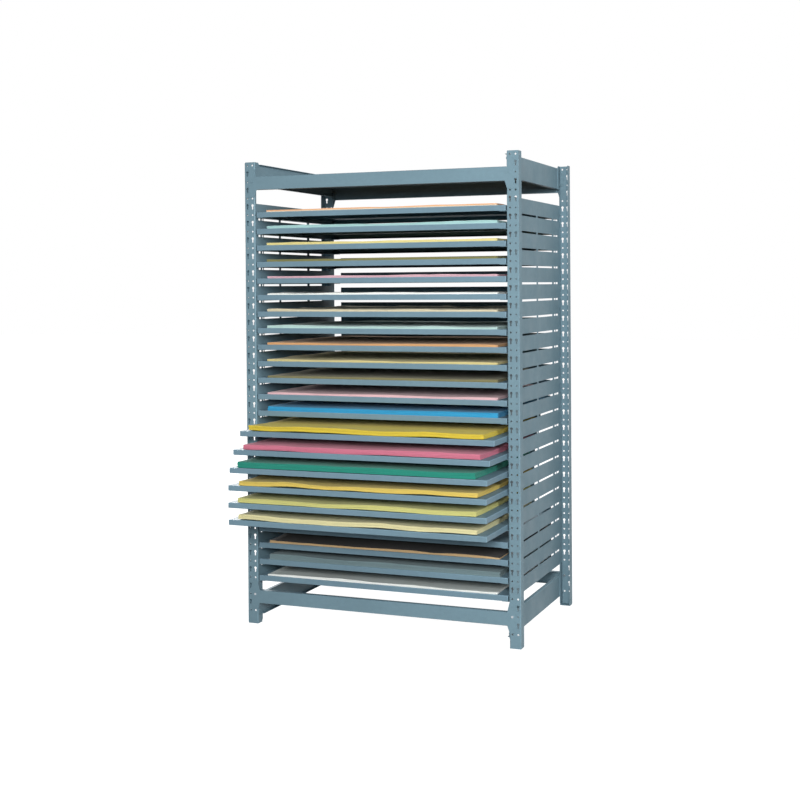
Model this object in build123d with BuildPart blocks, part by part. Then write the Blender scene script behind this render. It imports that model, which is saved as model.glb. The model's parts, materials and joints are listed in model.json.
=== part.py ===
"""Paper storage rack: an open steel rack with a stack of sliding trays for large sheets of paper.

The rack stands on four perforated angle posts. Folded beams join the posts along the front and the
rear, channel ties join them along the sides, and each side carries a stack of rails with a ledge for
every tray. The trays lie on the ledges and slide out to the front, each with its stack of paper.

The frame of the model: +Z up, the open front towards -Y, +X to the right, and the origin on the floor
in the middle of the whole outline, with the trays drawn out as they are here.
"""

import os

from build123d import *

os.makedirs("parts", exist_ok=True)

# Rack, outside the posts
RACK_WIDTH = 1295.0
RACK_DEPTH = 855.0
HOLE_PITCH = 75.0
POST_PITCHES = 28
RACK_HEIGHT = POST_PITCHES * HOLE_PITCH

# Posts: an angle with a narrow lip along the inner edge of its front flange
POST_FACE = 50.0
POST_SIDE = 45.0
POST_LIP = 14.0
POST_SHEET = 2.0
END_WEB_BOTTOM = 200.0
END_WEB_TOP = 112.0
END_WEB_CHAMFER = 10.0
COLUMN_INSET = 12.5
ROUND_HOLE_RADIUS = 4.0
ROUND_HOLE_Z = 60.0
KEYHOLE_Z = 22.5
KEYHOLE_RADIUS = 6.0
KEYHOLE_SLOT = 6.5
KEYHOLE_HEIGHT = 24.0
SIDE_HOLE_INSET = 23.0

# Feet: pressed shoes inside the post ends, on a base as large as the post
FOOT_SHEET = 1.6
FOOT_HEIGHT = 52.0
FOOT_BASE = 2.0
FOOT_GAP = 0.5

# Beams, front and rear
BEAM_SHEET = 2.0
BEAM_HEIGHT = 58.0
BEAM_FLANGE = 24.0
BOTTOM_BEAM_Z = 95.0
TOP_BEAM_Z = 1974.0
END_PLATE_OVERLAP = 28.0
END_PLATE_REACH = 10.0
END_PLATE_BELOW = 31.5
END_PLATE_ABOVE = 21.5
HOOK_WIDTH = 5.5
HOOK_HEIGHT = 9.0
HOOK_PLATE = 2.5
HOOK_PLATE_WIDTH = 9.0
HOOK_PLATE_HEIGHT = 16.0

# Ties, along both sides
TIE_SHEET = 2.0
TIE_HEIGHT = 100.0
TIE_FLANGE = 15.0
TIE_END_GAP = 0.5
BOTTOM_TIE_Z = 41.0
TOP_TIE_Z = 1990.0

# Welded pieces stay this far apart, so that each is a solid of its own
WELD_GAP = 0.05

# Bolts
BOLT_RADIUS = 3.0
BOLT_CLEARANCE = 0.3
BOLT_HEAD_RADIUS = 5.5
BOLT_HEAD_HEIGHT = 3.0
NUT_WIDTH = 10.0
NUT_HEIGHT = 4.0
TIE_BOLT_SPACING = 60.0

# Rails: a stack of folded strips down each side
TRAY_COUNT = 23
RAIL_SHEET = 1.6
RAIL_HEIGHT = 66.0
RAIL_LEDGE = 33.0
RAIL_BOTTOM_BELOW_LEDGE = 2.0
RAIL_FRONT_STRAP = 30.0
RAIL_REAR_STRAP = 47.0
RAIL_TABS = {
    -1: ((57.0, 13.0), (77.0, 6.0), (245.0, 18.0), (550.0, 24.0)),
    1: ((57.0, 13.0), (77.0, 6.0), (455.0, 20.0), (722.0, 26.0), (766.0, 5.0)),
}

# Trays: a flat top with folded skirts
TRAY_SHEET = 1.6
TRAY_SIDE_GAP = 5.5
TRAY_SKIRT = 24.0
TRAY_REAR_SKIRT = 16.0
TRAY_REAR_GAP = 20.0
TRAY_DEPTH = RACK_DEPTH - TRAY_REAR_GAP
TRAY_HEM = 12.0
TOP_TRAY_Z = 1872.0
SEAT_CLEARANCE = 0.3
STOP_HEIGHT = 30.0
STOP_INSET = 40.0
STIFFENER_WIDTH = 60.0
STIFFENER_DEPTH = 8.0
STIFFENER_Y = 500.0

# Top board: a shallow pan between the ties
BOARD_SHEET = 1.6
BOARD_SKIRT = 20.0
BOARD_GAP = 1.5

# Paper: full sheets of 788 by 1091, lying between the tray's front edge and its rear stop
SHEET_LENGTH = 1091.0
PAPER_SETBACK = 6.0
PAPER_STOP_GAP = 39.4
SHEET_WIDTH = TRAY_DEPTH - TRAY_SHEET - PAPER_SETBACK - PAPER_STOP_GAP
PAPER_THICKNESS = {
    1: 11.0, 2: 12.0, 3: 12.0, 4: 13.0, 5: 12.0, 6: 8.0, 7: 10.0, 8: 14.0, 9: 14.0, 10: 12.0, 11: 14.0,
    12: 14.0, 13: 22.0, 14: 22.0, 15: 23.0, 16: 25.0, 17: 21.0, 18: 21.0, 19: 22.0, 21: 10.0, 22: 22.0,
    23: 9.0,
}
# How far each stack lies to the right of the tray's middle
PAPER_SHIFT = {
    1: 4.0, 2: 5.0, 3: 3.0, 4: 4.0, 5: 5.0, 6: 6.0, 7: 5.0, 8: 3.0, 9: 4.0, 10: 2.0, 11: 3.0, 12: 2.0,
    13: 3.0, 14: -4.0, 15: 2.0, 16: -8.0, 17: 6.0, 18: 0.0, 19: 1.0, 21: 8.0, 22: 7.0, 23: -3.0,
}

# How far each tray is drawn out at rest
DRAWN_OUT = {14: 172.0, 15: 235.0, 16: 270.0, 17: 282.0, 18: 283.0, 19: 280.0}

# Places that follow from the sizes above
LEFT = -RACK_WIDTH / 2
RIGHT = RACK_WIDTH / 2
FRONT = (max(DRAWN_OUT.values()) - RACK_DEPTH - BEAM_SHEET - BOLT_HEAD_HEIGHT) / 2
REAR = FRONT + RACK_DEPTH
COLUMNS = (COLUMN_INSET, POST_FACE - COLUMN_INSET)
LEDGE_Z = TOP_TRAY_Z - TRAY_SKIRT - SEAT_CLEARANCE
TIE_BOLT_INSET = POST_LIP - BOLT_HEAD_RADIUS - BOLT_CLEARANCE


def hole_rows(lowest):
    """The heights of one kind of hole, from the foot to the top of the post."""
    return [lowest + HOLE_PITCH * k for k in range(POST_PITCHES) if lowest + HOLE_PITCH * k > FOOT_HEIGHT]


def hook_rows(beam_z):
    """The heights of the two keyholes that a beam's end plate hooks into."""
    rows = [z for z in hole_rows(KEYHOLE_Z) if z >= beam_z + BEAM_HEIGHT - HOLE_PITCH - HOLE_PITCH / 2]
    return rows[0], rows[1]


def bolt_row(beam_z):
    """The height of the round hole between those two keyholes."""
    lower, upper = hook_rows(beam_z)
    return [z for z in hole_rows(ROUND_HOLE_Z) if lower < z < upper][0]


def from_side(side, inset):
    """The x of a place that lies inset from the outer face of the left (-1) or right (1) posts."""
    return side * (RIGHT - inset)


def from_end(end, inset):
    """The y of a place that lies inset from the outer face of the front (-1) or rear (1) posts."""
    middle = (FRONT + REAR) / 2
    return middle + end * (RACK_DEPTH / 2 - inset)


def block(x, y, z):
    """Add a box between pairs of x, y and z limits, in any order, to the open part."""
    low = (min(x), min(y), min(z))
    with Locations(low):
        Box(abs(x[1] - x[0]), abs(y[1] - y[0]), abs(z[1] - z[0]), align=(Align.MIN, Align.MIN, Align.MIN))


def write(piece, name):
    """Label a finished part and write its file."""
    piece.part.label = name
    export_step(piece.part, f"parts/{name}.step")


def make_post(name, side, end):
    """One post: front flange, side flange and lip, with its rows of holes."""
    face_middle = from_side(side, POST_FACE / 2)
    outer_y = from_end(end, 0)
    height = RACK_HEIGHT - FOOT_BASE
    rounds = [(from_side(side, u), z) for u in COLUMNS for z in hole_rows(ROUND_HOLE_Z)]
    keyholes = [(from_side(side, u), z) for u in COLUMNS for z in hole_rows(KEYHOLE_Z)]
    head_rise = KEYHOLE_HEIGHT / 2 - KEYHOLE_RADIUS
    slot_length = KEYHOLE_HEIGHT - KEYHOLE_RADIUS
    slot_drop = (KEYHOLE_HEIGHT - slot_length) / 2
    with BuildPart() as post:
        with BuildSketch(Plane.XZ.offset(-outer_y)):
            with Locations((face_middle, FOOT_BASE + height / 2)):
                Rectangle(POST_FACE, height)
            with Locations(*rounds):
                Circle(ROUND_HOLE_RADIUS, mode=Mode.SUBTRACT)
            with Locations(*[(x, z + head_rise) for x, z in keyholes]):
                Circle(KEYHOLE_RADIUS, mode=Mode.SUBTRACT)
            with Locations(*[(x, z - slot_drop) for x, z in keyholes]):
                Rectangle(KEYHOLE_SLOT, slot_length, mode=Mode.SUBTRACT)
        extrude(amount=end * POST_SHEET)
        with BuildSketch(Plane.YZ.offset(from_side(side, 0))):
            with Locations((from_end(end, (POST_SIDE + POST_SHEET) / 2), FOOT_BASE + height / 2)):
                Rectangle(POST_SIDE - POST_SHEET, height)
            with Locations(*[(from_end(end, SIDE_HOLE_INSET), z) for z in hole_rows(ROUND_HOLE_Z)]):
                Circle(ROUND_HOLE_RADIUS, mode=Mode.SUBTRACT)
        extrude(amount=-side * POST_SHEET)
        with BuildSketch(Plane.YZ.offset(from_side(side, POST_FACE))):
            with Locations((from_end(end, (POST_LIP + POST_SHEET) / 2), FOOT_BASE + height / 2)):
                Rectangle(POST_LIP - POST_SHEET, height)
            for tip, root in ((FOOT_BASE, END_WEB_BOTTOM), (RACK_HEIGHT, RACK_HEIGHT - END_WEB_TOP)):
                shoulder = tip + END_WEB_CHAMFER * (1 if root > tip else -1)
                with BuildLine():
                    Polyline(
                        (from_end(end, POST_SHEET), tip),
                        (from_end(end, POST_SIDE - END_WEB_CHAMFER), tip),
                        (from_end(end, POST_SIDE), shoulder),
                        (from_end(end, POST_SIDE), root),
                        (from_end(end, POST_SHEET), root),
                        close=True,
                    )
                make_face()
            with Locations(*[(from_end(end, TIE_BOLT_INSET), z) for z in tie_bolt_rows()]):
                Circle(BOLT_RADIUS + BOLT_CLEARANCE, mode=Mode.SUBTRACT)
        extrude(amount=side * POST_SHEET)
    write(post, name)


def tie_bolt_rows():
    """The heights of the bolts that fasten the ties."""
    middles = [z + TIE_HEIGHT / 2 for z in (BOTTOM_TIE_Z, TOP_TIE_Z)]
    return [z + half for z in middles for half in (-TIE_BOLT_SPACING / 2, TIE_BOLT_SPACING / 2)]


def make_feet():
    """Four shoes: a base under each post, and plates up the inside of its front and its side."""
    inner = POST_SHEET + FOOT_GAP
    upright = (FOOT_BASE, FOOT_HEIGHT)
    with BuildPart() as feet:
        for side in (-1, 1):
            for end in (-1, 1):
                across = (from_side(side, 0), from_side(side, POST_FACE))
                along = (from_end(end, 0), from_end(end, POST_SIDE))
                block(across, along, (0, FOOT_BASE))
                front = (from_side(side, inner), from_side(side, POST_FACE - inner))
                block(front, (from_end(end, inner), from_end(end, inner + FOOT_SHEET)), upright)
                flank = (from_side(side, inner), from_side(side, inner + FOOT_SHEET))
                block(flank, (from_end(end, inner), along[1]), upright)
    write(feet, "feet")


def make_beam(name, end, beam_z):
    """A folded beam across the front or the rear, with an end plate that hooks over each post."""
    face = (from_end(end, -BEAM_SHEET), from_end(end, 0))
    lower_hook, upper_hook = hook_rows(beam_z)
    plate_low = lower_hook - END_PLATE_BELOW
    plate_high = upper_hook + END_PLATE_ABOVE
    inner = POST_FACE + END_PLATE_REACH
    outer = POST_FACE - END_PLATE_OVERLAP
    beam_top = beam_z + BEAM_HEIGHT
    step = [] if beam_z == BOTTOM_BEAM_Z else [(POST_FACE, beam_top)]
    with BuildPart() as beam:
        with BuildSketch(Plane.XZ.offset(-face[1])):
            with Locations((0, beam_z + BEAM_HEIGHT / 2)):
                Rectangle(RACK_WIDTH - 2 * outer, BEAM_HEIGHT)
            for side in (-1, 1):
                outline = [(outer, plate_low), (POST_FACE, plate_low), (inner, beam_z), (inner, beam_top)]
                outline += step + [(POST_FACE, plate_high), (outer, plate_high)]
                with BuildLine():
                    Polyline(*[(from_side(side, inset), z) for inset, z in outline], close=True)
                make_face()
            with Locations(*[(from_side(s, COLUMNS[1]), bolt_row(beam_z)) for s in (-1, 1)]):
                Circle(BOLT_RADIUS + BOLT_CLEARANCE, mode=Mode.SUBTRACT)
        extrude(amount=-end * BEAM_SHEET)
        run = (from_side(-1, POST_FACE + TIE_SHEET + BOARD_GAP), from_side(1, POST_FACE + TIE_SHEET + BOARD_GAP))
        fold = (face[1], from_end(end, BEAM_FLANGE))
        block(run, fold, (beam_z, beam_z + BEAM_SHEET))
        block(run, fold, (beam_z + BEAM_HEIGHT - BEAM_SHEET, beam_z + BEAM_HEIGHT))
        for side in (-1, 1):
            leg = (from_side(side, inner), from_side(side, inner - BEAM_SHEET))
            block(leg, fold, (beam_z, beam_z + BEAM_HEIGHT))
            for row in (lower_hook, upper_hook):
                make_hook(from_side(side, COLUMNS[1]), end, row)
    write(beam, name)


def make_hook(x, end, row):
    """One hook of a beam: a neck through the slot of a keyhole and a plate behind the flange."""
    slot_foot = row - KEYHOLE_HEIGHT / 2
    neck = (x - HOOK_WIDTH / 2, x + HOOK_WIDTH / 2)
    plate = (x - HOOK_PLATE_WIDTH / 2, x + HOOK_PLATE_WIDTH / 2)
    behind = POST_SHEET + HOOK_PLATE
    block(neck, (from_end(end, 0), from_end(end, behind)), (slot_foot, slot_foot + HOOK_HEIGHT))
    reach = (from_end(end, POST_SHEET), from_end(end, behind))
    block(plate, reach, (slot_foot + HOOK_HEIGHT - HOOK_PLATE_HEIGHT, slot_foot + HOOK_HEIGHT))


def make_ties(name, tie_z):
    """A channel along each side, with its flanges towards the middle of the rack."""
    run = (FRONT + POST_SHEET + TIE_END_GAP, REAR - POST_SHEET - TIE_END_GAP)
    inner_run = (run[0] + BEAM_FLANGE, run[1] - BEAM_FLANGE)
    bolts = [(y, z) for z in tie_bolt_rows() for y in (tie_bolt_y(-1), tie_bolt_y(1))]
    with BuildPart() as ties:
        for side in (-1, 1):
            web = (from_side(side, POST_FACE), from_side(side, POST_FACE + TIE_SHEET))
            flange = (web[1], from_side(side, POST_FACE + TIE_SHEET + TIE_FLANGE))
            with BuildSketch(Plane.YZ.offset(web[0])):
                with Locations(((run[0] + run[1]) / 2, tie_z + TIE_HEIGHT / 2)):
                    Rectangle(run[1] - run[0], TIE_HEIGHT)
                with Locations(*[(y, z) for y, z in bolts if tie_z < z < tie_z + TIE_HEIGHT]):
                    Circle(BOLT_RADIUS + BOLT_CLEARANCE, mode=Mode.SUBTRACT)
            extrude(amount=-side * TIE_SHEET)
            block(flange, inner_run, (tie_z, tie_z + TIE_SHEET))
            block(flange, inner_run, (tie_z + TIE_HEIGHT - TIE_SHEET, tie_z + TIE_HEIGHT))
    write(ties, name)


def tie_bolt_y(end):
    """The y of the bolts that fasten the ties to the lips of the front or rear posts."""
    return from_end(end, TIE_BOLT_INSET)


def make_bolts():
    """The bolts of the frame: one through each end plate, and two through each end of each tie.

    Each has a round head on its seat, a shank through the two sheets and a nut behind them.
    """
    beam_seats = []
    tie_seats = []
    for end in (-1, 1):
        for side in (-1, 1):
            for beam_z in (BOTTOM_BEAM_Z, TOP_BEAM_Z):
                seat = (from_side(side, COLUMNS[1]), from_end(end, -BEAM_SHEET), bolt_row(beam_z))
                beam_seats.append(Plane(origin=seat, x_dir=(1, 0, 0), z_dir=(0, end, 0)))
            for z in tie_bolt_rows():
                seat = (from_side(side, POST_FACE + TIE_SHEET), tie_bolt_y(end), z)
                tie_seats.append(Plane(origin=seat, x_dir=(0, 1, 0), z_dir=(-side, 0, 0)))
    with BuildPart() as bolts:
        for seats, grip in ((beam_seats, BEAM_SHEET + POST_SHEET), (tie_seats, TIE_SHEET + POST_SHEET)):
            with BuildSketch(*seats):
                Circle(BOLT_HEAD_RADIUS)
            extrude(amount=BOLT_HEAD_HEIGHT)
            with BuildSketch(*seats):
                Circle(BOLT_RADIUS)
            extrude(amount=-grip)
            with BuildSketch(*[seat.offset(-grip) for seat in seats]):
                RegularPolygon(NUT_WIDTH / 2, 6, major_radius=False)
            extrude(amount=-NUT_HEIGHT)
    write(bolts, "frame_bolts")


def tray_z(number):
    """The height of a tray's top, counted from tray 1 at the top."""
    return TOP_TRAY_Z - HOLE_PITCH * (number - 1)


def make_rails(name, side):
    """The rails of one side: strips joined by tabs and end straps, with a welded ledge on each."""
    web_x = from_side(side, POST_FACE)
    ledge_x = from_side(side, POST_FACE + RAIL_SHEET + WELD_GAP + RAIL_LEDGE / 2)
    run = (FRONT + POST_SHEET + TIE_END_GAP, REAR - POST_SHEET - TIE_END_GAP)
    length = run[1] - run[0]
    middle = (run[0] + run[1]) / 2
    ledges = [LEDGE_Z - HOLE_PITCH * (number - 1) for number in range(1, TRAY_COUNT + 1)]
    lows = [top_of_ledge - RAIL_BOTTOM_BELOW_LEDGE for top_of_ledge in ledges]
    gap = HOLE_PITCH - RAIL_HEIGHT
    front_strap = RAIL_FRONT_STRAP - (run[0] - FRONT)
    rear_strap = RAIL_REAR_STRAP - (REAR - run[1])
    bridges = [(run[0] + front_strap / 2, front_strap), (run[1] - rear_strap / 2, rear_strap)]
    bridges += [(FRONT + y, width) for y, width in RAIL_TABS[side]]
    with BuildPart() as rails:
        with BuildSketch(Plane.YZ.offset(web_x)):
            with Locations(*[(middle, low + RAIL_HEIGHT / 2) for low in lows]):
                Rectangle(length, RAIL_HEIGHT)
            for y, width in bridges:
                with Locations(*[(y, low - gap / 2) for low in lows[:-1]]):
                    Rectangle(width, gap)
        extrude(amount=-side * RAIL_SHEET)
        with Locations(*[(ledge_x, middle, top_of_ledge - RAIL_SHEET / 2) for top_of_ledge in ledges]):
            Box(RAIL_LEDGE, length, RAIL_SHEET)
    write(rails, name)


def tray_shape():
    """A tray with its front edge at y 0 and its top at z 0.

    It has a flat top, a hemmed skirt along the front and both sides, a shorter rear skirt, a stiffener
    underneath and a stop welded on along the rear.
    """
    half = RIGHT - POST_FACE - TIE_SHEET - TRAY_SIDE_GAP
    under = -TRAY_SHEET
    skirt = (-TRAY_SKIRT, under)
    hem_z = (-TRAY_SKIRT, -TRAY_SKIRT + TRAY_SHEET)
    inside = (-half + TRAY_SHEET, half - TRAY_SHEET)
    stiffener = (STIFFENER_Y - STIFFENER_WIDTH / 2, STIFFENER_Y + STIFFENER_WIDTH / 2)
    with BuildPart() as tray:
        block((-half, half), (0, TRAY_DEPTH), (under, 0))
        block((-half, half), (0, TRAY_SHEET), skirt)
        block(inside, (TRAY_SHEET, TRAY_HEM), hem_z)
        for side in (-1, 1):
            block((side * half, side * inside[1]), (TRAY_SHEET, TRAY_DEPTH), skirt)
            block((side * inside[1], side * (half - TRAY_HEM)), (TRAY_HEM, TRAY_DEPTH), hem_z)
        block(inside, (TRAY_DEPTH - TRAY_SHEET, TRAY_DEPTH), (-TRAY_REAR_SKIRT, under))
        stop = (-half + STOP_INSET, half - STOP_INSET)
        block(stop, (TRAY_DEPTH - TRAY_SHEET, TRAY_DEPTH), (WELD_GAP, STOP_HEIGHT))
        for y in (stiffener[0], stiffener[1] - TRAY_SHEET):
            block(inside, (y, y + TRAY_SHEET), (under - STIFFENER_DEPTH, under))
        block(inside, stiffener, (under - STIFFENER_DEPTH - TRAY_SHEET, under - STIFFENER_DEPTH))
    return tray.part


def make_tray(number, shape):
    """One tray, on its ledge and drawn out as far as it is at rest."""
    with BuildPart() as tray:
        with Locations((0, FRONT - DRAWN_OUT.get(number, 0.0), tray_z(number))):
            add(shape)
    write(tray, f"tray_{number:02d}")


def make_paper(number):
    """The stack of paper on one tray."""
    name = f"paper_{number:02d}"
    front = FRONT - DRAWN_OUT.get(number, 0.0) + PAPER_SETBACK
    base = tray_z(number)
    middle = PAPER_SHIFT[number]
    with BuildPart() as paper:
        across = (middle - SHEET_LENGTH / 2, middle + SHEET_LENGTH / 2)
        block(across, (front, front + SHEET_WIDTH), (base, base + PAPER_THICKNESS[number]))
    write(paper, name)


def make_board():
    """The top board: a pan that lies on the front and rear beams, between the side ties."""
    half = RIGHT - POST_FACE - TIE_SHEET - BOARD_GAP
    seat = TOP_BEAM_Z + BEAM_HEIGHT
    inset = BEAM_FLANGE + BOARD_GAP
    with BuildPart() as board:
        block((-half, half), (FRONT, REAR), (seat, seat + BOARD_SHEET))
        for y in (FRONT + inset, REAR - inset - BOARD_SHEET):
            block((-half, half), (y, y + BOARD_SHEET), (seat - BOARD_SKIRT, seat))
        for x in (-half, half - BOARD_SHEET):
            sides = (FRONT + inset + BOARD_SHEET, REAR - inset - BOARD_SHEET)
            block((x, x + BOARD_SHEET), sides, (seat - BOARD_SKIRT, seat))
    write(board, "top_board")


for side_name, side in (("left", -1), ("right", 1)):
    for end_name, end in (("front", -1), ("rear", 1)):
        make_post(f"post_{end_name}_{side_name}", side, end)
    make_rails(f"rails_{side_name}", side)
for end_name, end in (("front", -1), ("rear", 1)):
    make_beam(f"bottom_beam_{end_name}", end, BOTTOM_BEAM_Z)
    make_beam(f"top_beam_{end_name}", end, TOP_BEAM_Z)
make_ties("bottom_ties", BOTTOM_TIE_Z)
make_ties("top_ties", TOP_TIE_Z)
make_feet()
make_bolts()
make_board()
tray_form = tray_shape()
for tray_number in range(1, TRAY_COUNT + 1):
    make_tray(tray_number, tray_form)
for tray_number in PAPER_THICKNESS:
    make_paper(tray_number)
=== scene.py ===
"""Looks of an open steel rack with slide-out trays and their stacks of coloured paper.

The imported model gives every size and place. Each folded steel piece is rebuilt from its own solid with
rounded folds, each stack of paper is rebuilt as bundles of slightly wavy sheets, and all of them get
painted, plated or paper finishes made from shader nodes.
"""

import json
import logging
import math
import random
from dataclasses import dataclass, field, replace
from enum import Enum
from typing import Dict, Iterable, List, Optional, Sequence, Tuple

import bmesh
import bpy
from mathutils import Matrix, Vector, noise

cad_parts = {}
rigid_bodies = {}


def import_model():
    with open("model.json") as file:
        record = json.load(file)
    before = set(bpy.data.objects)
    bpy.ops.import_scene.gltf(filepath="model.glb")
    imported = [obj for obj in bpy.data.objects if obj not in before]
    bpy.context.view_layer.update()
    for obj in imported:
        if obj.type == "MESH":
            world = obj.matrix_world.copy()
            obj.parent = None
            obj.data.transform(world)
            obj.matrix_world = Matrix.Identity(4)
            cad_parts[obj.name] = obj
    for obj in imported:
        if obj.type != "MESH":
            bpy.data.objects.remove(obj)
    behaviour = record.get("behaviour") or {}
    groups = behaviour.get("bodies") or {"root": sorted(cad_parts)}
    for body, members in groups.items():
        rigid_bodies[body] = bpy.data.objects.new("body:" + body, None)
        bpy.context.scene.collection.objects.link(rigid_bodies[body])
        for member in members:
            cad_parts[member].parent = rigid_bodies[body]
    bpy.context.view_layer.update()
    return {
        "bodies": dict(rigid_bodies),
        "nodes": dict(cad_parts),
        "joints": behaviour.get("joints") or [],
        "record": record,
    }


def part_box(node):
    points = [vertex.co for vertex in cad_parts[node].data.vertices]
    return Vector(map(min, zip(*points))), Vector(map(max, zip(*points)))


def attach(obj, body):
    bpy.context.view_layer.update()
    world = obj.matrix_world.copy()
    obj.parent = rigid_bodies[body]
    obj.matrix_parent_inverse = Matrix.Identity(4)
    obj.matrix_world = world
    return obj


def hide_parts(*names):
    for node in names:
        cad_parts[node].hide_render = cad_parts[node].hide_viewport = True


LOG = logging.getLogger("paper_rack")

Colour = Tuple[float, float, float]
Point = Tuple[float, float, float]
Face = Tuple[int, ...]
Socket = bpy.types.NodeSocket

MILLIMETRE = 0.001
FULL_CHANNEL = 255.0
SRGB_LINEAR_END = 0.04045
SRGB_LINEAR_SLOPE = 12.92
SRGB_OFFSET = 0.055
SRGB_POWER = 2.4
NOISE_LOW = 0.3
NOISE_HIGH = 0.7
LEVEL_NORMAL = 0.6
SMALLEST_STEP = 1e-9
SMALLEST_WIDTH = 1e-6
MAIN_MATERIAL = 0
SECOND_MATERIAL = 1
COVER_MATERIAL = 2


def linear(colour: Colour) -> Tuple[float, float, float, float]:
    """Turn a display colour from 0 to 255 into the linear colour that a shader takes.

    Args:
        colour: Red, green and blue, each from 0 to 255.

    Returns:
        Linear red, green, blue and an alpha of one.
    """
    channels = []
    for value in colour:
        share = value / FULL_CHANNEL
        if share <= SRGB_LINEAR_END:
            channels.append(share / SRGB_LINEAR_SLOPE)
        else:
            channels.append(((share + SRGB_OFFSET) / (1.0 + SRGB_OFFSET)) ** SRGB_POWER)
    return channels[0], channels[1], channels[2], 1.0


def shade(colour: Colour, factor: float) -> Colour:
    """Make a display colour lighter or darker.

    Args:
        colour: Red, green and blue, each from 0 to 255.
        factor: Above one for lighter, below one for darker.

    Returns:
        The changed colour, kept within 0 to 255.
    """
    red, green, blue = (max(0.0, min(FULL_CHANNEL, value * factor)) for value in colour)
    return red, green, blue


@dataclass(frozen=True)
class Grain:
    """One noise pattern: its cells per metre along X, Y and Z, its finer layers and their strength."""

    scale: Point
    detail: float = 3.0
    roughness: float = 0.5


@dataclass(frozen=True)
class Relief:
    """One layer of unevenness: its pattern, the share of it that shows and its depth in metres."""

    grain: Grain
    strength: float
    depth: float


class MaterialMaker:
    """Adds the nodes of one material and links them."""

    def __init__(self, name: str) -> None:
        """Start a material with its surface shader.

        Args:
            name: The material's name.
        """
        self.material = bpy.data.materials.new(name)
        self.material.use_nodes = True
        self.tree = self.material.node_tree
        self.shader = self.tree.nodes["Principled BSDF"]
        self.output = self.tree.nodes["Material Output"]
        self.coordinates = self.tree.nodes.new("ShaderNodeTexCoord")

    def link(self, source: Socket, target: Socket) -> None:
        """Link one socket to another."""
        self.tree.links.new(source, target)

    def dress(self, name: str, value: Socket) -> None:
        """Link a socket to an input of the surface shader."""
        self.link(value, self.shader.inputs[name])

    def grain(self, pattern: Grain) -> Socket:
        """Add a noise pattern in the object's coordinates.

        Args:
            pattern: The pattern.

        Returns:
            The socket with values around one half.
        """
        mapping = self.tree.nodes.new("ShaderNodeMapping")
        mapping.inputs["Scale"].default_value = pattern.scale
        self.link(self.coordinates.outputs["Object"], mapping.inputs["Vector"])
        texture = self.tree.nodes.new("ShaderNodeTexNoise")
        texture.inputs["Scale"].default_value = 1.0
        texture.inputs["Detail"].default_value = pattern.detail
        texture.inputs["Roughness"].default_value = pattern.roughness
        self.link(mapping.outputs["Vector"], texture.inputs["Vector"])
        return texture.outputs["Fac"]

    def ramp(self, pattern: Grain, stops: Sequence[Tuple[float, Colour]]) -> Socket:
        """Colour a noise pattern.

        Args:
            pattern: The pattern.
            stops: Values from 0 to 1, each with its display colour.

        Returns:
            The socket with the colour.
        """
        node = self.tree.nodes.new("ShaderNodeValToRGB")
        elements = node.color_ramp.elements
        while len(elements) < len(stops):
            elements.new(0.5)
        for element, (place, colour) in zip(elements, stops):
            element.position = place
            element.color = linear(colour)
        self.link(self.grain(pattern), node.inputs["Fac"])
        return node.outputs["Color"]

    def tones(self, pattern: Grain, colour: Colour, darkest: float, lightest: float) -> Socket:
        """Make a colour uneven.

        Args:
            pattern: The pattern of the darker and lighter places.
            colour: The display colour.
            darkest: The factor in the darkest places.
            lightest: The factor in the lightest places.

        Returns:
            The socket with the colour.
        """
        stops = [(NOISE_LOW, shade(colour, darkest)), (NOISE_HIGH, shade(colour, lightest))]
        return self.ramp(pattern, stops)

    def span(self, pattern: Grain, low: float, high: float) -> Socket:
        """Spread a noise pattern over a range.

        Args:
            pattern: The pattern.
            low: The result where the noise is low.
            high: The result where the noise is high.

        Returns:
            The socket with the new value.
        """
        node = self.tree.nodes.new("ShaderNodeMapRange")
        node.inputs["From Min"].default_value = NOISE_LOW
        node.inputs["From Max"].default_value = NOISE_HIGH
        node.inputs["To Min"].default_value = low
        node.inputs["To Max"].default_value = high
        self.link(self.grain(pattern), node.inputs["Value"])
        return node.outputs["Result"]

    def blend(self, factor: Socket, first: Socket, second: Socket) -> Socket:
        """Mix two colours.

        Args:
            factor: The socket with the share of the second colour.
            first: The first colour's socket.
            second: The second colour's socket.

        Returns:
            The socket with the mixed colour.
        """
        node = self.tree.nodes.new("ShaderNodeMix")
        node.data_type = "RGBA"
        self.link(factor, node.inputs["Factor"])
        self.link(first, node.inputs["A"])
        self.link(second, node.inputs["B"])
        return node.outputs["Result"]

    def bump(self, relief: Relief, before: Optional[Socket] = None) -> Socket:
        """Make the surface uneven.

        Args:
            relief: The unevenness.
            before: The normal that it builds on.

        Returns:
            The socket with the normal.
        """
        node = self.tree.nodes.new("ShaderNodeBump")
        node.inputs["Strength"].default_value = relief.strength
        node.inputs["Distance"].default_value = relief.depth
        self.link(self.grain(relief.grain), node.inputs["Height"])
        if before is not None:
            self.link(before, node.inputs["Normal"])
        return node.outputs["Normal"]

    def facing_up(self) -> Socket:
        """Tell level surfaces from upright ones.

        Returns:
            The socket with 1 on level surfaces and 0 on upright ones.
        """
        parts = self.tree.nodes.new("ShaderNodeSeparateXYZ")
        size = self.tree.nodes.new("ShaderNodeMath")
        size.operation = "ABSOLUTE"
        step = self.tree.nodes.new("ShaderNodeMath")
        step.operation = "GREATER_THAN"
        step.inputs[1].default_value = LEVEL_NORMAL
        self.link(self.coordinates.outputs["Normal"], parts.inputs["Vector"])
        self.link(parts.outputs["Z"], size.inputs[0])
        self.link(size.outputs["Value"], step.inputs[0])
        return step.outputs["Value"]


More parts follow.
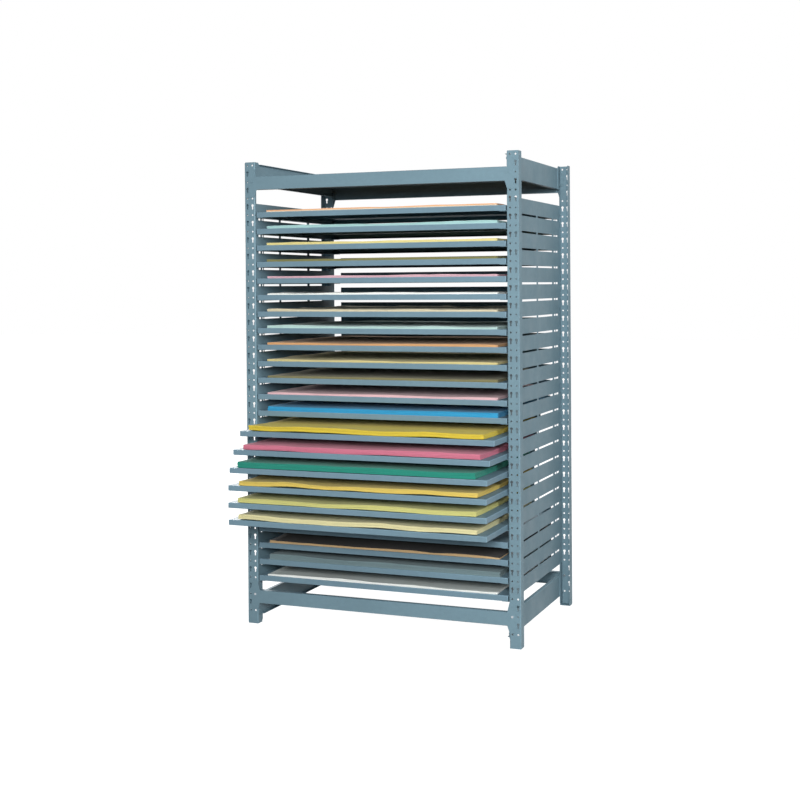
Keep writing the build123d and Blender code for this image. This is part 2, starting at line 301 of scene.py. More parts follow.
@dataclass(frozen=True)
class EnamelFinish:
    """Stoved enamel on sheet steel: satin and slightly uneven in tone."""

    name: str
    colour: Colour
    roughness: float = 0.46
    mottle: float = 0.05
    gloss: float = 0.14
    smoother: float = 0.06
    rougher: float = 0.08
    speckle_share: Tuple[float, float] = (0.2, 0.6)
    clouds: Grain = Grain((2.3, 2.9, 3.7), 5.0, 0.6)
    speckles: Grain = Grain((48.0, 48.0, 60.0), 4.0, 0.7)
    patches: Grain = Grain((6.0, 6.0, 9.0), 2.0)
    sheen: Grain = Grain((14.0, 14.0, 14.0), 4.0)
    rolled: Relief = Relief(Grain((4.0, 4.0, 5.0), 1.0), 0.25, 1.2 * MILLIMETRE)
    peel: Relief = Relief(Grain((620.0, 620.0, 620.0), 2.0), 0.12, 0.12 * MILLIMETRE)
    # The folds' enamel is lighter by this factor: a painted highlight along each rounded fold.
    fold_highlight_tone: float = 1.09
    fold_polish: float = 0.1
    fold_mottle: float = 0.08

    def make(self) -> bpy.types.Material:
        """Make the material.

        Returns:
            The finished material.
        """
        maker = MaterialMaker(self.name)
        cloudy, speckled = (
            maker.tones(pattern, self.colour, 1.0 - self.mottle, 1.0 + self.mottle)
            for pattern in (self.clouds, self.speckles)
        )
        share = maker.span(self.patches, *self.speckle_share)
        maker.dress("Base Color", maker.blend(share, cloudy, speckled))
        smoothest, roughest = self.roughness - self.smoother, self.roughness + self.rougher
        maker.dress("Roughness", maker.span(self.sheen, smoothest, roughest))
        maker.dress("Normal", maker.bump(self.peel, maker.bump(self.rolled)))
        maker.shader.inputs["Specular IOR Level"].default_value = self.gloss
        return maker.material

    def fold(self) -> "EnamelFinish":
        """Give the same enamel, lighter as a painted highlight along a rounded fold, and smoother there.

        Returns:
            The lighter and smoother finish.
        """
        return replace(
            self,
            name=self.name + "_fold",
            colour=shade(self.colour, self.fold_highlight_tone),
            roughness=self.roughness - self.fold_polish,
            mottle=self.fold_mottle,
        )


@dataclass(frozen=True)
class ZincFinish:
    """Bright zinc plate on bolts and nuts."""

    name: str
    colour: Colour
    darkest: float = 0.88
    lightest: float = 1.06
    roughness: Tuple[float, float] = (0.2, 0.38)
    crystals: Grain = Grain((160.0, 160.0, 160.0), 4.0)
    wear: Grain = Grain((400.0, 400.0, 400.0), 3.0)
    scratches: Relief = Relief(Grain((900.0, 900.0, 300.0), 3.0), 0.15, 0.1 * MILLIMETRE)

    def make(self) -> bpy.types.Material:
        """Make the material.

        Returns:
            The finished material.
        """
        maker = MaterialMaker(self.name)
        maker.dress("Base Color", maker.tones(self.crystals, self.colour, self.darkest, self.lightest))
        maker.dress("Roughness", maker.span(self.wear, *self.roughness))
        maker.dress("Normal", maker.bump(self.scratches))
        maker.shader.inputs["Metallic"].default_value = 1.0
        return maker.material


@dataclass(frozen=True)
class PaperFinish:
    """Uncoated dyed paper: matt faces with faint fibres, and finely striped sides of stacked sheets."""

    name: str
    colour: Colour
    darkest: float = 0.965
    lightest: float = 1.03
    side_stops: Tuple[float, float, float] = (0.28, 0.5, 0.72)
    side_tones: Tuple[float, float, float] = (0.88, 0.97, 1.06)
    roughness: Tuple[float, float] = (0.78, 0.92)
    gloss: float = 0.25
    sheen: float = 0.06
    pulp: Grain = Grain((26.0, 26.0, 26.0), 6.0, 0.65)
    stripes: Grain = Grain((5.0, 5.0, 950.0), 3.0, 0.8)
    nap: Grain = Grain((90.0, 90.0, 90.0), 3.0)
    fibres: Relief = Relief(Grain((700.0, 700.0, 1400.0), 3.0, 0.7), 0.2, 0.12 * MILLIMETRE)

    def make(self) -> bpy.types.Material:
        """Make the material.

        Returns:
            The finished material.
        """
        maker = MaterialMaker(self.name)
        face = maker.tones(self.pulp, self.colour, self.darkest, self.lightest)
        tones = [shade(self.colour, factor) for factor in self.side_tones]
        side = maker.ramp(self.stripes, list(zip(self.side_stops, tones)))
        maker.dress("Base Color", maker.blend(maker.facing_up(), side, face))
        maker.dress("Roughness", maker.span(self.nap, *self.roughness))
        maker.dress("Normal", maker.bump(self.fibres))
        maker.shader.inputs["Specular IOR Level"].default_value = self.gloss
        maker.shader.inputs["Sheen Weight"].default_value = self.sheen
        return maker.material


class Stock(Enum):
    """The display colours of the papers in the rack, and of two painted shades for the tops of stacks.
    """

    APRICOT = (230, 178, 138)
    CREAM = (234, 222, 200)
    MINT = (170, 210, 208)
    YELLOW = (226, 214, 146)
    OLIVE = (134, 132, 86)
    LILAC = (222, 182, 192)
    WHITE = (244, 248, 242)
    SAND = (218, 208, 176)
    PALE_MINT = (186, 216, 210)
    TAN = (216, 166, 116)
    BUTTER = (222, 208, 146)
    MOSS = (132, 127, 90)
    PINK = (226, 188, 192)
    BLUE = (54, 156, 202)
    LEMON = (214, 192, 66)
    ROSE = (206, 120, 142)
    GREEN = (40, 138, 120)
    GOLD = (216, 192, 98)
    LIME = (206, 204, 130)
    PRIMROSE = (222, 216, 168)
    BISCUIT = (216, 184, 138)
    SLATE = (116, 138, 142)
    # Charcoal and grey are painted shade on the tops of two stacks, not papers of their own.
    CHARCOAL_SHADE = (66, 64, 62)
    GREY_SHADE = (190, 198, 194)

    def finish(self) -> PaperFinish:
        """Give the paper's finish."""
        return PaperFinish("paper_" + self.name.lower(), self.value)


@dataclass(frozen=True)
class TrayStock:
    """The paper on one tray: its colours, how wavy it is and how much of its solid it fills.

    The lower stock reaches up to its share of the stack's height. The rise is in millimetres, and lifts
    the front edge off the tray in places. The painted top shade darkens the top face as painted shade.
    """

    upper: Stock
    lower: Optional[Stock] = None
    lower_share: float = 0.0
    painted_top_shade: Optional[Stock] = None
    wave: float = 0.16
    fill: float = 1.0
    rise: float = 0.0

    def colours(self) -> Tuple[Stock, Stock, Stock]:
        """Give the colours of the upper sheets, the lower sheets and the top face, where some trays have
        a painted shade.
        """
        return self.upper, self.lower or self.upper, self.painted_top_shade or self.upper


class FoldStyle(Enum):
    """Which edges of a steel piece are rounded."""

    FOLDS = "outer folds of sheet steel"
    ALL = "every sharp edge of a small turned or forged piece"


@dataclass
class Piece:
    """One visible piece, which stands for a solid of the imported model."""

    node: str
    body: str
    slot: str

    def stand_in(
        self, data: bpy.types.Mesh, materials: Iterable[bpy.types.Material]
    ) -> bpy.types.Object:
        """Put a mesh in the place of the solid.

        Args:
            data: The mesh, which also gives the new object its name.
            materials: The mesh's materials, in order.

        Returns:
            The new object.
        """
        for material in materials:
            data.materials.append(material)
        piece = bpy.data.objects.new(data.name, data)
        bpy.context.scene.collection.objects.link(piece)
        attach(piece, self.body)
        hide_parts(self.node)
        return piece


@dataclass
class FoldedSteel(Piece):
    """One steel piece, rebuilt from its own solid with rounded folds.

    The second material goes on the folds of sheet steel, where its lighter enamel is a painted
    highlight, and on fasteners outside the bright band of heights.
    """

    materials: Tuple[bpy.types.Material, bpy.types.Material]
    radius: float = 2.2 * MILLIMETRE
    style: FoldStyle = FoldStyle.FOLDS
    sheet_limit: float = 3.5 * MILLIMETRE
    shortest_fold: float = 12.0 * MILLIMETRE
    segments: int = 3
    profile: float = 0.5
    bright_band: Tuple[float, float] = (0.128, 0.142)
    weld: float = 0.005 * MILLIMETRE
    flat_angle: float = math.radians(0.5)
    flush_angle: float = math.radians(1.0)
    curve_angle: float = math.radians(40.0)
    fold_angle: float = math.radians(50.0)

    def build(self, source: bpy.types.Object) -> bpy.types.Object:
        """Build the piece and let it stand for its solid.

        Args:
            source: The solid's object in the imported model.

        Returns:
            The new object.
        """
        mesh = bmesh.new()
        mesh.from_mesh(source.data)
        bmesh.ops.remove_doubles(mesh, verts=mesh.verts, dist=self.weld)
        bmesh.ops.dissolve_limit(mesh, angle_limit=self.flat_angle, verts=mesh.verts, edges=mesh.edges)
        self.round_folds(mesh)
        mesh.faces.index_update()
        mesh.normal_update()
        self.smooth_curves(mesh)
        bmesh.ops.triangulate(mesh, faces=[face for face in mesh.faces if len(face.verts) > 4])
        if self.style is FoldStyle.ALL:
            self.mark_dull(mesh)
        data = bpy.data.meshes.new(self.node + "_folded")
        mesh.to_mesh(data)
        mesh.free()
        return self.stand_in(data, self.materials)

    def round_folds(self, mesh: bmesh.types.BMesh) -> None:
        """Round the folds, and give those of sheet steel the second material, a lighter enamel that
        paints a highlight on them.

        Args:
            mesh: The piece's mesh.
        """
        folds = [edge for edge in mesh.edges if self.is_fold(edge)]
        if not folds:
            return
        rounded = bmesh.ops.bevel(
            mesh, geom=folds, offset=self.radius, offset_type="OFFSET", segments=self.segments,
            profile=self.profile, affect="EDGES", clamp_overlap=False, loop_slide=True,
            miter_outer="SHARP", miter_inner="SHARP",
        )
        if self.style is FoldStyle.FOLDS:
            # The lighter fold enamel is a painted highlight along each rounded fold.
            for face in rounded["faces"]:
                face.material_index = SECOND_MATERIAL

    def mark_dull(self, mesh: bmesh.types.BMesh) -> None:
        """Give the faces outside the bright band the second material.

        Args:
            mesh: The piece's mesh.
        """
        low, high = self.bright_band
        for face in mesh.faces:
            bright = low < face.calc_center_median().z < high
            face.material_index = MAIN_MATERIAL if bright else SECOND_MATERIAL

    def is_fold(self, edge: bmesh.types.BMEdge) -> bool:
        """Tell an edge to be rounded from the cut edge of the sheet.

        Args:
            edge: An edge of the welded solid.

        Returns:
            True for an outer corner whose two faces are both wider than the sheet is thick, and in the
            style ALL for every outer corner.
        """
        if len(edge.link_faces) != 2 or not edge.is_convex:
            return False
        if edge.calc_face_angle(0.0) < self.fold_angle:
            return False
        if self.style is FoldStyle.ALL:
            return True
        if edge.calc_length() < self.shortest_fold:
            return False
        return all(self.width(edge, face) > self.sheet_limit for face in edge.link_faces)

    @staticmethod
    def width(edge: bmesh.types.BMEdge, face: bmesh.types.BMFace) -> float:
        """Measure how wide a face is, straight across from the middle of one of its edges.

        Args:
            edge: The edge.
            face: The face beside it.

        Returns:
            The distance to the nearest edge on the other side, in metres.
        """
        middle = (edge.verts[0].co + edge.verts[1].co) / 2
        along = (edge.verts[1].co - edge.verts[0].co).normalized()
        across = face.normal.cross(along)
        nearest = math.inf
        for other in face.edges:
            if other is edge:
                continue
            first, second = (vertex.co - middle for vertex in other.verts)
            before, after = first.dot(along), second.dot(along)
            if before * after > 0.0 or abs(before - after) < SMALLEST_STEP:
                continue
            crossing = first + (second - first) * (before / (before - after))
            distance = abs(crossing.dot(across))
            if distance > SMALLEST_WIDTH:
                nearest = min(nearest, distance)
        return nearest

    def smooth_curves(self, mesh: bmesh.types.BMesh) -> None:
        """Shade rounded folds and hole walls smooth, and keep the flat faces flat.

        Args:
            mesh: The piece's mesh.
        """
        narrow = {}
        for face in mesh.faces:
            face.smooth = True
            longest = max(edge.calc_length() for edge in face.edges)
            narrow[face.index] = face.calc_area() / longest < self.sheet_limit
        for edge in mesh.edges:
            if len(edge.link_faces) != 2:
                edge.smooth = False
                continue
            angle = edge.calc_face_angle(0.0)
            both_narrow = all(narrow[face.index] for face in edge.link_faces)
            edge.smooth = angle < self.flush_angle or (both_narrow and angle < self.curve_angle)


@dataclass
class PaperStack(Piece):
    """One stack of paper: bundles of sheets, each a little out of line and gently wavy."""

    choice: TrayStock
    seed: int
    bundle_height: float = 2.6 * MILLIMETRE
    fewest_bundles: int = 3
    uneven: Tuple[float, float] = (0.6, 1.4)
    shift: float = 1.6 * MILLIMETRE
    turn: float = 0.0012
    groove: float = 0.25 * MILLIMETRE
    straight_part: Tuple[float, float] = (0.3, 0.7)
    ragged_depth: float = 0.35 * MILLIMETRE
    ragged_scale: float = 40.0
    ragged_layers: float = 57.0
    edge_reach: float = 0.06
    middle_wave: float = 0.5
    edge_wave: float = 0.8
    swell_scale: float = 4.5
    swell_step: float = 3.7
    ripple_share: float = 0.35
    ripple_scale: float = 13.0
    ripple_step: float = 5.1
    bend_share: float = 0.5
    bend_reach: float = 0.08
    bend_scale: float = 5.0
    bend_row: float = 3.1
    bend_step: float = 2.3
    sharp_angle: float = math.radians(50.0)
    across: int = 56
    along: int = 36
    low: Vector = field(init=False)
    high: Vector = field(init=False)

    def __post_init__(self) -> None:
        """Look up the corners of the stack's solid."""
        self.low, self.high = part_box(self.node)

    @property
    def height(self) -> float:
        """Give the stack's height, in metres."""
        return (self.high.z - self.low.z) * self.choice.fill

    def build(self, papers: Dict[Stock, bpy.types.Material]) -> bpy.types.Object:
        """Build the stack and let it stand for its solid.

        Args:
            papers: The materials of all papers.

        Returns:
            The new object.
        """
        chance = random.Random(self.seed)
        cuts = self.cuts(chance)
        outline = self.outline()
        vertices: List[Point] = []
        faces: List[Face] = []
        finishes: List[int] = []
        previous: Optional[int] = None
        for bottom, top in zip(cuts, cuts[1:]):
            slide_x = chance.uniform(-self.shift, self.shift)
            slide_y = chance.uniform(-self.shift, self.shift)
            turn = chance.uniform(-self.turn, self.turn)
            for level, inset in self.side(bottom, top):
                start = len(vertices)
                for x, y in outline:
                    vertices.append(self.place(x, y, level, slide_x, slide_y, turn, inset))
                if previous is not None:
                    faces += self.band(previous, start, len(outline))
                    below = self.choice.lower is not None and level <= self.choice.lower_share
                    finishes += [SECOND_MATERIAL if below else MAIN_MATERIAL] * len(outline)
                previous = start
        self.close(vertices, faces, finishes, outline, previous)
        data = bpy.data.meshes.new(self.node + "_sheets")
        data.from_pydata(vertices, [], faces)
        for polygon, finish in zip(data.polygons, finishes):
            polygon.material_index = finish
        data.update()
        self.smooth(data)
        return self.stand_in(data, [papers[stock] for stock in self.choice.colours()])

    def cuts(self, chance: random.Random) -> List[float]:
        """Divide the stack's height into bundles of uneven thickness.

        Args:
            chance: The stack's own random numbers.

        Returns:
            The shares of the height at which the bundles start and end, from 0 to 1.
        """
        bundles = max(self.fewest_bundles, round(self.height / self.bundle_height))
        weights = [chance.uniform(*self.uneven) for _ in range(bundles)]
        total = sum(weights)
        places = [0.0]
        for weight in weights:
            places.append(places[-1] + weight / total)
        return places

    def side(self, bottom: float, top: float) -> List[Tuple[float, float]]:
        """Give the profile of a bundle's side, which is drawn in at the top and the bottom.

        Args:
            bottom: The share of the height at which the bundle starts.
            top: The share at which it ends.

        Returns:
            The levels from 0 to 1, each with how far the side is drawn in there.
        """
        start, end = self.straight_part
        shares = ((0.0, self.groove), (start, 0.0), (end, 0.0), (1.0, self.groove))
        return [(bottom + (top - bottom) * share, inset) for share, inset in shares]

    def outline(self) -> List[Tuple[float, float]]:
        """List the points round the stack's edge, anticlockwise seen from above.

        Returns:
            The points' x and y.
        """
        low, high = self.low, self.high
        xs = [self.x_of(column) for column in range(self.across + 1)]
        ys = [self.y_of(row) for row in range(self.along + 1)]
        points = [(x, low.y) for x in xs[:-1]]
        points += [(high.x, y) for y in ys[:-1]]
        points += [(x, high.y) for x in reversed(xs[1:])]
        points += [(low.x, y) for y in reversed(ys[1:])]
        return points

    def x_of(self, column: int) -> float:
        """Give the x of a grid column."""
        return self.low.x + (self.high.x - self.low.x) * column / self.across

    def y_of(self, row: int) -> float:
        """Give the y of a grid row."""
        return self.low.y + (self.high.y - self.low.y) * row / self.along

    def column_of(self, x: float) -> int:
        """Give the number of the grid column at an x."""
        return round((x - self.low.x) / (self.high.x - self.low.x) * self.across)

    def row_of(self, y: float) -> int:
        """Give the number of the grid row at a y."""
        return round((y - self.low.y) / (self.high.y - self.low.y) * self.along)

    def place(
        self, x: float, y: float, level: float,
        slide_x: float, slide_y: float, turn: float, inset: float,
    ) -> Point:
        """Place one point of a bundle's edge.

        Args:
            x: The point's x on the plain outline.
            y: The point's y on the plain outline.
            level: Its share of the stack's height.
            slide_x: How far the bundle lies out of line along X.
            slide_y: How far the bundle lies out of line along Y.
            turn: How far the bundle is turned, in radians.
            inset: How far the edge is drawn in here.

        Returns:
            The point.
        """
        low, high = self.low, self.high
        middle_x = (low.x + high.x) / 2
        middle_y = (low.y + high.y) / 2
        layer = level * self.ragged_layers + self.seed
        spot = Vector((x * self.ragged_scale, y * self.ragged_scale, layer))
        ragged = self.ragged_depth * noise.noise(spot)
        edge_x = inset * (1 if x <= low.x else -1 if x >= high.x else 0)
        edge_y = (inset + ragged) * (1 if y <= low.y else -1 if y >= high.y else 0)
        new_x = x + edge_x + slide_x - (y - middle_y) * turn
        new_y = y + edge_y + slide_y + (x - middle_x) * turn
        return new_x, new_y, low.z + self.height_at(x, y, level)

    def height_at(self, x: float, y: float, level: float) -> float:
        """Give the height of a sheet above the tray.

        Args:
            x: The place's x.
            y: The place's y.
            level: The sheet's share of the stack's height.

        Returns:
            The height, in metres. It swells and dips gently, most near the edges.
        """
        near_x = min(x - self.low.x, self.high.x - x)
        near_y = min(y - self.low.y, self.high.y - y)
        edge = math.exp(-min(near_x, near_y) / self.edge_reach)
        swell = self.noise_at(x, y, self.swell_scale, self.swell_step)
        ripple = self.noise_at(x, y, self.ripple_scale, self.ripple_step)
        wave = self.choice.wave * (self.middle_wave + self.edge_wave * edge)
        lift = wave * (swell + self.ripple_share * ripple)
        return self.height * level * (1.0 + lift) + self.front_rise(x, y)

    def noise_at(self, x: float, y: float, scale: float, step: float) -> float:
        """Give the stack's own noise at a place.

        Args:
            x: The place's x.
            y: The place's y.
            scale: The noise's cells per metre.
            step: How far apart the noise of one stack and the next lie.

        Returns:
            The noise, from -1 to 1.
        """
        return noise.noise(Vector((x * scale, y * scale, self.seed * step)))

    def front_rise(self, x: float, y: float) -> float:
        """Give how far the sheets are bent up off the tray, which dies out behind the front edge.

        Args:
            x: The place's x.
            y: The place's y.

        Returns:
            The rise, in metres.
        """
        spot = Vector((x * self.bend_scale, self.bend_row, self.seed * self.bend_step))
        bend = self.bend_share + noise.noise(spot)
        most = self.choice.rise * MILLIMETRE
        return most * max(0.0, bend) * math.exp((self.low.y - y) / self.bend_reach)

    @staticmethod
    def band(lower: int, upper: int, count: int) -> List[Face]:
        """Join two loops of points with faces.

        Args:
            lower: The first point of the lower loop.
            upper: The first point of the upper loop.
            count: The points in each loop.

        Returns:
            The faces.
        """
        pairs = [(i, (i + 1) % count) for i in range(count)]
        return [(lower + i, lower + j, upper + j, upper + i) for i, j in pairs]

    def close(
        self, vertices: List[Point], faces: List[Face], finishes: List[int],
        outline: Sequence[Tuple[float, float]], top_start: int,
    ) -> None:
        """Add the top sheet and the underside.

        Args:
            vertices: The stack's points, to add to.
            faces: The stack's faces, to add to.
            finishes: The faces' material numbers, to add to.
            outline: The points round the edge.
            top_start: The first point of the topmost loop.
        """
        grid: Dict[Tuple[int, int], int] = {}
        for index, (x, y) in enumerate(outline):
            grid[(self.column_of(x), self.row_of(y))] = top_start + index
        for i in range(1, self.across):
            for j in range(1, self.along):
                x, y = self.x_of(i), self.y_of(j)
                grid[(i, j)] = len(vertices)
                vertices.append((x, y, self.low.z + self.height_at(x, y, 1.0)))
        # The top face takes the third material, which on trays 21 and 23 is a painted shade.
        for i in range(self.across):
            for j in range(self.along):
                faces.append((grid[(i, j)], grid[(i + 1, j)], grid[(i + 1, j + 1)], grid[(i, j + 1)]))
                finishes.append(COVER_MATERIAL)
        faces.append(tuple(reversed(range(len(outline)))))
        finishes.append(SECOND_MATERIAL)

    def smooth(self, data: bpy.types.Mesh) -> None:
        """Shade the sheets smooth, with sharp edges where the faces meet at a steep angle.

        Args:
            data: The stack's mesh.
        """
        mesh = bmesh.new()
        mesh.from_mesh(data)
        for face in mesh.faces:
            face.smooth = True
        for edge in mesh.edges:
            joined = len(edge.link_faces) == 2
            edge.smooth = joined and edge.calc_face_angle(0.0) < self.sharp_angle
        mesh.to_mesh(data)
        mesh.free()


@dataclass(frozen=True)
class Lamp:
    """One soft square lamp, with its side in metres and its power in watts."""

    name: str
    place: Point
    target: Point
    side: float
    power: float

    def hang(self) -> None:
        """Hang the lamp at its place, turned to its target."""
        data = bpy.data.lights.new(self.name, "AREA")
        data.size = self.side
        data.energy = self.power
        lamp = bpy.data.objects.new(self.name, data)
        lamp.location = self.place
        lamp.visible_camera = False
        aim = Vector(self.target) - Vector(self.place)
        lamp.rotation_euler = aim.to_track_quat("-Z", "Y").to_euler()
        bpy.context.scene.collection.objects.link(lamp)


@dataclass
class Studio:
    """The pale floor, the surroundings, the soft lamps and the camera.

    The camera's angles are in degrees and its picture is measured in pixels.
    """

    floor_size: float = 60.0
    floor_depth: float = 0.2 * MILLIMETRE
    floor_colour: Colour = (134.0, 134.0, 134.0)
    floor_roughness: float = 0.8
    floor_gloss: float = 0.1
    floor_glow: float = 0.98
    world_strength: float = 0.1
    picture_width: float = 800.0
    sensor_width: float = 36.0
    focal_pixels: float = 1328.24
    axis_row: float = 300.63
    azimuth: float = 21.851
    pitch: float = -0.671
    roll: float = -0.402
    camera_from_corner: Point = (2.9047, -5.3569, 1.5374)
    camera_reach: float = 100.0
    lamps: Tuple[Lamp, ...] = (
        Lamp("key_lamp", (2.4, -6.3, 2.7), (0.0, 0.0, 1.0), 2.0, 425.0),
        Lamp("side_lamp", (5.8, -2.2, 3.2), (0.0, 0.1, 1.7), 1.8, 130.0),
        Lamp("rear_lamp", (-5.2, 5.4, 3.4), (0.0, 0.2, 1.0), 2.0, 430.0),
    )

    def build(self, corner: Vector) -> None:
        """Build the whole studio.

        Args:
            corner: The rack's front left corner on the floor.
        """
        self.camera(corner)
        self.floor()
        self.world()
        for lamp in self.lamps:
            lamp.hang()

    def camera(self, corner: Vector) -> None:
        """Place the camera where the photograph was taken from.

        Args:
            corner: The rack's front left corner on the floor.
        """
        turn, tip, lean = (math.radians(a) for a in (self.azimuth, self.pitch, self.roll))
        level = Vector((-math.sin(turn), math.cos(turn), 0.0))
        right = Vector((math.cos(turn), math.sin(turn), 0.0))
        upward = Vector((0.0, 0.0, 1.0))
        forward = level * math.cos(tip) + upward * math.sin(tip)
        above = upward * math.cos(tip) - level * math.sin(tip)
        image_right = right * math.cos(lean) + above * math.sin(lean)
        image_up = above * math.cos(lean) - right * math.sin(lean)
        data = bpy.data.cameras.new("view")
        data.sensor_width = self.sensor_width
        data.lens = self.focal_pixels / self.picture_width * self.sensor_width
        data.shift_y = (self.axis_row - self.picture_width / 2) / self.picture_width
        data.clip_end = self.camera_reach
        camera = bpy.data.objects.new("view", data)
        axes = Matrix((image_right, image_up, -forward)).transposed().to_4x4()
        camera.matrix_world = Matrix.Translation(corner + Vector(self.camera_from_corner)) @ axes
        bpy.context.scene.collection.objects.link(camera)
        bpy.context.scene.camera = camera

    def floor(self) -> None:
        """Lay the floor, which shows pale and keeps the rack's shadow."""
        half, below = self.floor_size / 2, -self.floor_depth
        corners = [(x * half, y * half, below) for x, y in ((-1, -1), (1, -1), (1, 1), (-1, 1))]
        data = bpy.data.meshes.new("floor")
        data.from_pydata(corners, [], [(0, 1, 2, 3)])
        floor = bpy.data.objects.new("floor", data)
        bpy.context.scene.collection.objects.link(floor)
        data.materials.append(self.floor_material())

    def floor_material(self) -> bpy.types.Material:
        """Make the floor's material, which glows for the camera and takes the rack's shadow.

        Returns:
            The finished material.
        """
        maker = MaterialMaker("pale_floor")
        maker.shader.inputs["Base Color"].default_value = linear(self.floor_colour)
        maker.shader.inputs["Roughness"].default_value = self.floor_roughness
        maker.shader.inputs["Specular IOR Level"].default_value = self.floor_gloss
        glow = maker.tree.nodes.new("ShaderNodeEmission")
        maker.link(self.seen_directly(maker.tree, self.floor_glow), glow.inputs["Strength"])
        both = maker.tree.nodes.new("ShaderNodeAddShader")
        maker.link(maker.shader.outputs["BSDF"], both.inputs[0])
        maker.link(glow.outputs["Emission"], both.inputs[1])
        maker.link(both.outputs["Shader"], maker.output.inputs["Surface"])
        return maker.material

    @staticmethod
    def seen_directly(tree: bpy.types.NodeTree, strength: float, otherwise: float = 0.0) -> Socket:
        """Give one strength to what the camera, gloss and glass see, and another to the rest.

        Args:
            tree: The node tree to add to.
            strength: The strength for camera, glossy and transmission rays.
            otherwise: The strength for all other rays.

        Returns:
            The socket with the strength.
        """
        path = tree.nodes.new("ShaderNodeLightPath")
        seen = path.outputs["Is Camera Ray"]
        for ray in ("Is Glossy Ray", "Is Transmission Ray"):
            either = tree.nodes.new("ShaderNodeMath")
            either.operation = "MAXIMUM"
            tree.links.new(seen, either.inputs[0])
            tree.links.new(path.outputs[ray], either.inputs[1])
            seen = either.outputs["Value"]
        spread = tree.nodes.new("ShaderNodeMapRange")
        spread.inputs["To Min"].default_value = otherwise
        spread.inputs["To Max"].default_value = strength
        tree.links.new(seen, spread.inputs["Value"])
        return spread.outputs["Result"]

    def world(self) -> None:
        """Surround the scene with a soft white light."""
        world = bpy.data.worlds.new("soft_white")
        bpy.context.scene.world = world
        world.use_nodes = True
        background = world.node_tree.nodes["Background"]
        background.inputs["Color"].default_value = (1.0, 1.0, 1.0, 1.0)
        strength = self.seen_directly(world.node_tree, 1.0, self.world_strength)
        world.node_tree.links.new(strength, background.inputs["Strength"])


# The paper on each tray, counted from the top. Tray 20 is empty.
TRAY_STOCKS: Dict[int, TrayStock] = {
    1: TrayStock(Stock.APRICOT, Stock.CREAM, 0.45, wave=0.25, fill=0.82),
    2: TrayStock(Stock.MINT, wave=0.25, fill=0.95),
    3: TrayStock(Stock.YELLOW, wave=0.25, fill=0.86),
    4: TrayStock(Stock.OLIVE, wave=0.2, fill=0.76),
    5: TrayStock(Stock.LILAC, wave=0.25, fill=0.8),
    6: TrayStock(Stock.WHITE, wave=0.5),
    7: TrayStock(Stock.SAND, wave=0.45),
    8: TrayStock(Stock.PALE_MINT, wave=0.35, fill=0.78),
    9: TrayStock(Stock.TAN, wave=0.3, fill=0.68),
    10: TrayStock(Stock.BUTTER, wave=0.35, fill=0.7),
    11: TrayStock(Stock.MOSS, wave=0.25, fill=0.7),
    12: TrayStock(Stock.PINK, wave=0.25, fill=0.64),
    13: TrayStock(Stock.BLUE, wave=0.12, fill=0.92),
    14: TrayStock(Stock.LEMON, wave=0.14, fill=0.92, rise=7.0),
    15: TrayStock(Stock.ROSE, fill=0.94, rise=3.0),
    16: TrayStock(Stock.GREEN, wave=0.1, fill=0.96, rise=3.0),
    17: TrayStock(Stock.GOLD, wave=0.2, fill=0.84, rise=8.0),
    18: TrayStock(Stock.LIME, wave=0.14, fill=0.9, rise=4.0),
    19: TrayStock(Stock.PRIMROSE, fill=0.9, rise=7.0),
    # The charcoal and grey tops of trays 21 and 23 are painted shade.
    21: TrayStock(Stock.BISCUIT, painted_top_shade=Stock.CHARCOAL_SHADE, wave=0.5),
    22: TrayStock(Stock.SLATE),
    23: TrayStock(Stock.WHITE, painted_top_shade=Stock.GREY_SHADE, wave=0.6),
}


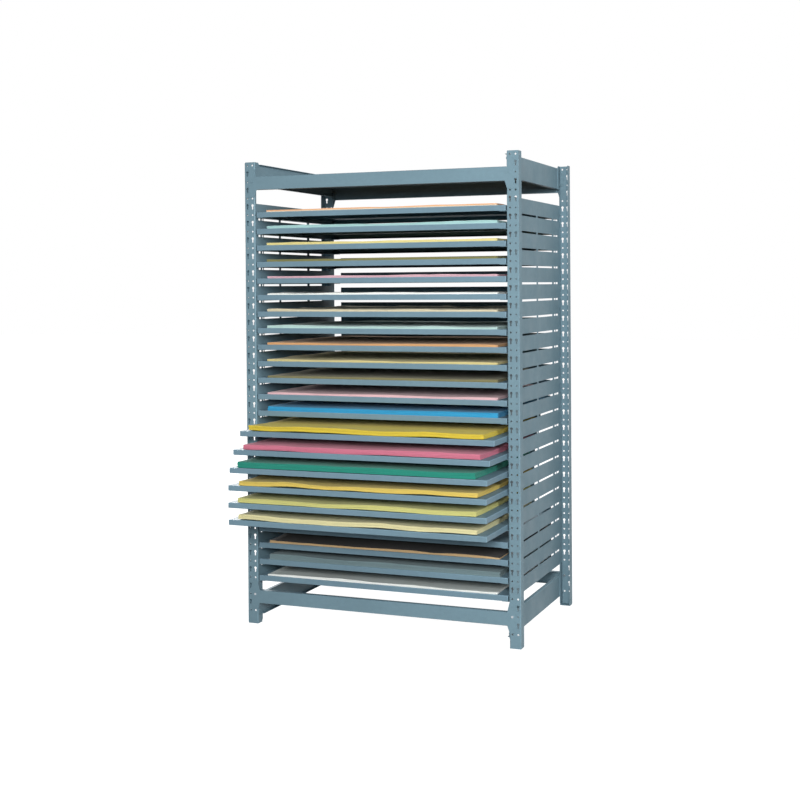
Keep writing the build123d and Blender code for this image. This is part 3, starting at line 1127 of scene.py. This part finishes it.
@dataclass
class PaperRack:
    """The rack with all its pieces."""

    frame: Dict[str, object]
    enamel: EnamelFinish = EnamelFinish("blue_grey_enamel", (114, 141, 153))
    tray_enamel: EnamelFinish = EnamelFinish("blue_grey_tray_enamel", (112, 139, 153), 0.44)
    board_enamel: EnamelFinish = EnamelFinish("blue_grey_board_enamel", (104, 130, 140), 0.5)
    zinc: ZincFinish = ZincFinish("bright_zinc", (178, 184, 188))
    post_fold: float = 3.4 * MILLIMETRE
    bolt_edge: float = 0.7 * MILLIMETRE

    def body_of(self, node: str) -> str:
        """Find the moving body that a node belongs to.

        Args:
            node: The node's name.

        Returns:
            The body's name.
        """
        bodies = self.frame["record"]["behaviour"]["bodies"]
        return next(body for body, nodes in bodies.items() if node in nodes)

    def slot_of(self, node: str) -> str:
        """Find the material slot that a node has in the record.

        Args:
            node: The node's name.

        Returns:
            The slot's name.
        """
        parts = self.frame["record"]["subparts"]
        return next(part["material_slot"] for part in parts if part["node"] == node)

    def build(self) -> None:
        """Build every piece."""
        self.build_steel()
        self.build_paper()

    def build_steel(self) -> None:
        """Build the posts, beams, ties, rails, feet, bolts, board and trays."""
        # Each slot gets its enamel and a lighter copy that paints a highlight on the rounded folds.
        finishes = {
            slot: (enamel.make(), enamel.fold().make())
            for slot, enamel in (
                ("frame", self.enamel), ("tray", self.tray_enamel), ("board", self.board_enamel)
            )
        }
        finishes["bolt"] = (self.zinc.make(), finishes["frame"][0])
        for node, source in sorted(self.frame["nodes"].items()):
            slot = self.slot_of(node)
            if slot not in finishes:
                continue
            piece = FoldedSteel(node, self.body_of(node), slot, finishes[slot])
            if slot == "bolt":
                piece.style = FoldStyle.ALL
                piece.radius = self.bolt_edge
            elif node.startswith("post"):
                piece.radius = self.post_fold
            report(piece.build(source))

    def build_paper(self) -> None:
        """Build the stacks of paper."""
        papers = {stock: stock.finish().make() for stock in Stock}
        for number, choice in TRAY_STOCKS.items():
            node = f"paper_{number:02d}"
            stack = PaperStack(node, self.body_of(node), self.slot_of(node), choice, seed=number)
            report(stack.build(papers))


def report(piece: bpy.types.Object) -> None:
    """Log a finished piece."""
    LOG.info("%s: %d faces", piece.name, len(piece.data.polygons))


def corners(limits: Iterable[Vector]) -> List[List[float]]:
    """Turn a pair of corners into plain lists."""
    return [[float(value) for value in corner] for corner in limits]


def main() -> None:
    """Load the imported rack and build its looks."""
    logging.basicConfig(level=logging.INFO, format="%(name)s %(message)s")
    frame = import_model()
    bpy.context.scene.view_settings.view_transform = "Standard"
    low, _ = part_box("post_front_left")
    Studio().build(Vector((low.x, low.y, 0.0)))
    PaperRack(frame).build()


if __name__ == "__main__":
    main()
